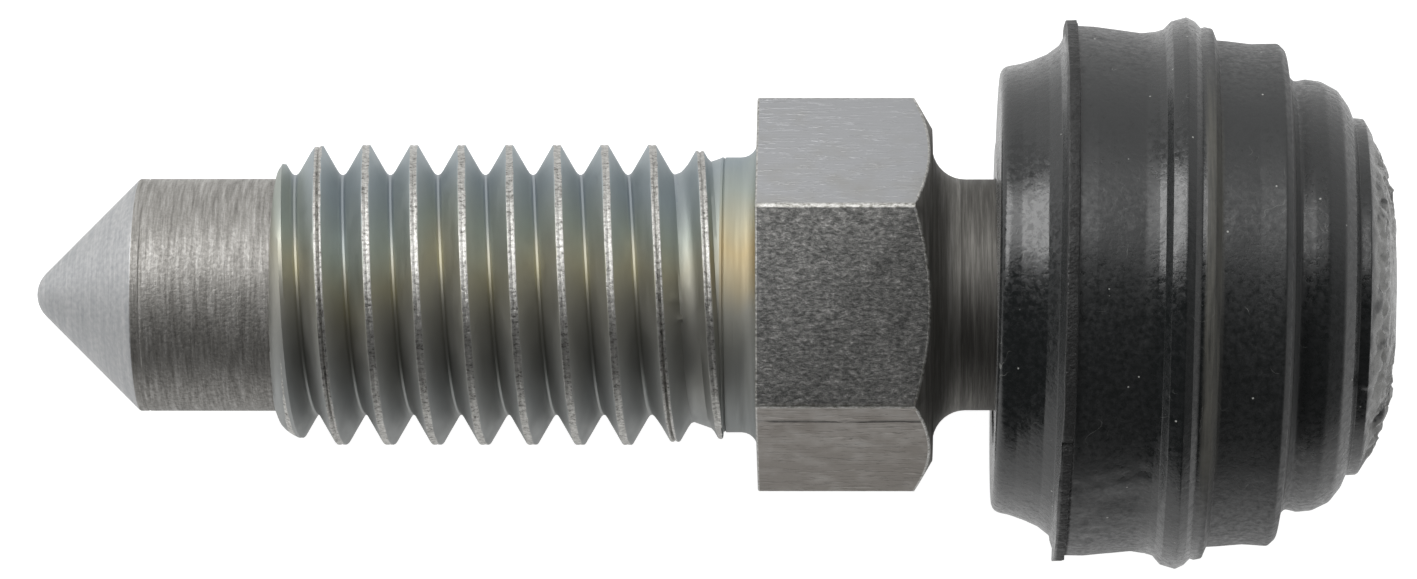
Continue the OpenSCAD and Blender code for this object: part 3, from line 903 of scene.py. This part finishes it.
def white_table():
    """Pale table that looks white to the camera and in reflections, and still takes the part's shadow."""
    deselect()
    bpy.ops.mesh.primitive_plane_add(size=0.9, location=(0, 0, 0))
    table = named(bpy.context.object, "table")
    material, tree, shader = fresh("white_card", Roughness=0.9)
    connect(tree, shader, {"Base Color": linear("#acacac")})
    straight = add(tree, "ShaderNodeMath", {
        0: add(tree, "ShaderNodeLightPath", output="Is Camera Ray"),
        1: add(tree, "ShaderNodeLightPath", output="Is Transmission Ray"),
    }, operation="MAXIMUM")
    strength = add(tree, "ShaderNodeMath", {
        0: add(tree, "ShaderNodeMath", {0: straight, 1: 0.93}, operation="MULTIPLY"),
        1: add(tree, "ShaderNodeMath", {
            0: add(tree, "ShaderNodeLightPath", output="Is Glossy Ray"), 1: 0.6,
        }, operation="MULTIPLY"),
    }, operation="MAXIMUM")
    glow = add(tree, "ShaderNodeEmission", {"Color": (1, 1, 1, 1), "Strength": strength})
    both = add(tree, "ShaderNodeAddShader", {0: shader.outputs[0], 1: glow})
    connect(tree, tree.nodes["Material Output"], {"Surface": both})
    table.data.materials.append(material)


def studio():
    """White surroundings to the camera, darker above the table for gloss, and an even fill for the rest."""
    world = bpy.data.worlds.new("studio")
    bpy.context.scene.world = world
    world.use_nodes = True
    tree = world.node_tree
    # Gloss sees a pale wall behind the softbox and one past the cap, and a dim room elsewhere
    across = add(tree, "ShaderNodeVectorMath", {
        0: add(tree, "ShaderNodeTexCoord", output="Generated"), 1: (-0.45, -0.75, 1.0),
    }, output="Value", operation="DOT_PRODUCT")
    gloss = add(tree, "ShaderNodeValToRGB", {
        "Fac": add(tree, "ShaderNodeMapRange", {"Value": across, "From Min": -0.3, "From Max": 0.9}),
    }, stops=[(0.0, "#f0f0f0"), (0.45, "#9c9c9c"), (1.0, "#484848")])
    fill = add(tree, "ShaderNodeMixRGB", {
        "Fac": add(tree, "ShaderNodeLightPath", output="Is Glossy Ray"),
        "Color1": linear("#acacac"), "Color2": gloss,
    })
    straight = add(tree, "ShaderNodeMath", {
        0: add(tree, "ShaderNodeLightPath", output="Is Camera Ray"),
        1: add(tree, "ShaderNodeLightPath", output="Is Transmission Ray"),
    }, operation="MAXIMUM")
    seen = add(tree, "ShaderNodeMixRGB", {"Fac": straight, "Color1": fill, "Color2": (1, 1, 1, 1)})
    connect(tree, tree.nodes["Background"], {"Color": seen})


def softbox(name, along, across, distance, size, power):
    """Large soft lamp: along leans it towards the cap and across towards the far side of the part."""
    away = Vector((math.tan(along), math.tan(across), 1)).normalized()
    side = Vector((0, 1, 0)).cross(away).normalized()
    deselect()
    bpy.ops.object.light_add(type="AREA")
    lamp = named(bpy.context.object, name)
    turn = Matrix((side, away.cross(side), away)).transposed().to_4x4()
    lamp.matrix_world = Matrix.Translation(away * distance) @ turn
    lamp.data.shape, lamp.data.size, lamp.data.size_y = "RECTANGLE", *size
    lamp.data.energy = power


def camera():
    """Looks straight down on the screw's side, as the photograph does."""
    eye, aim = Vector((0.14, -178.5, 13.81)), Vector((0.14, 0, 17.95))
    back, up = (eye - aim).normalized(), Vector((1, 0, 0))
    side = up.cross(back)
    turn = Matrix((side, up, back)).transposed().to_4x4()
    deselect()
    bpy.ops.object.camera_add()
    shot = bpy.context.object
    shot.matrix_world = LAY_DOWN @ Matrix.Translation(eye * MM) @ turn
    shot.data.sensor_width, shot.data.lens = 36, 172.8
    shot.data.clip_start, shot.data.clip_end = 0.01, 10
    bpy.context.scene.camera = shot


bpy.context.scene.view_settings.view_transform = "Standard"
turned_screw()
moulded_cap()
white_table()
studio()
softbox(
    "softbox", along=math.radians(-14), across=math.radians(36),
    distance=0.38, size=(0.35, 0.22), power=0.64,
)
softbox(
    "side_softbox", along=math.radians(-57), across=math.radians(45),
    distance=0.4, size=(0.22, 0.24), power=0.9,
)
camera()
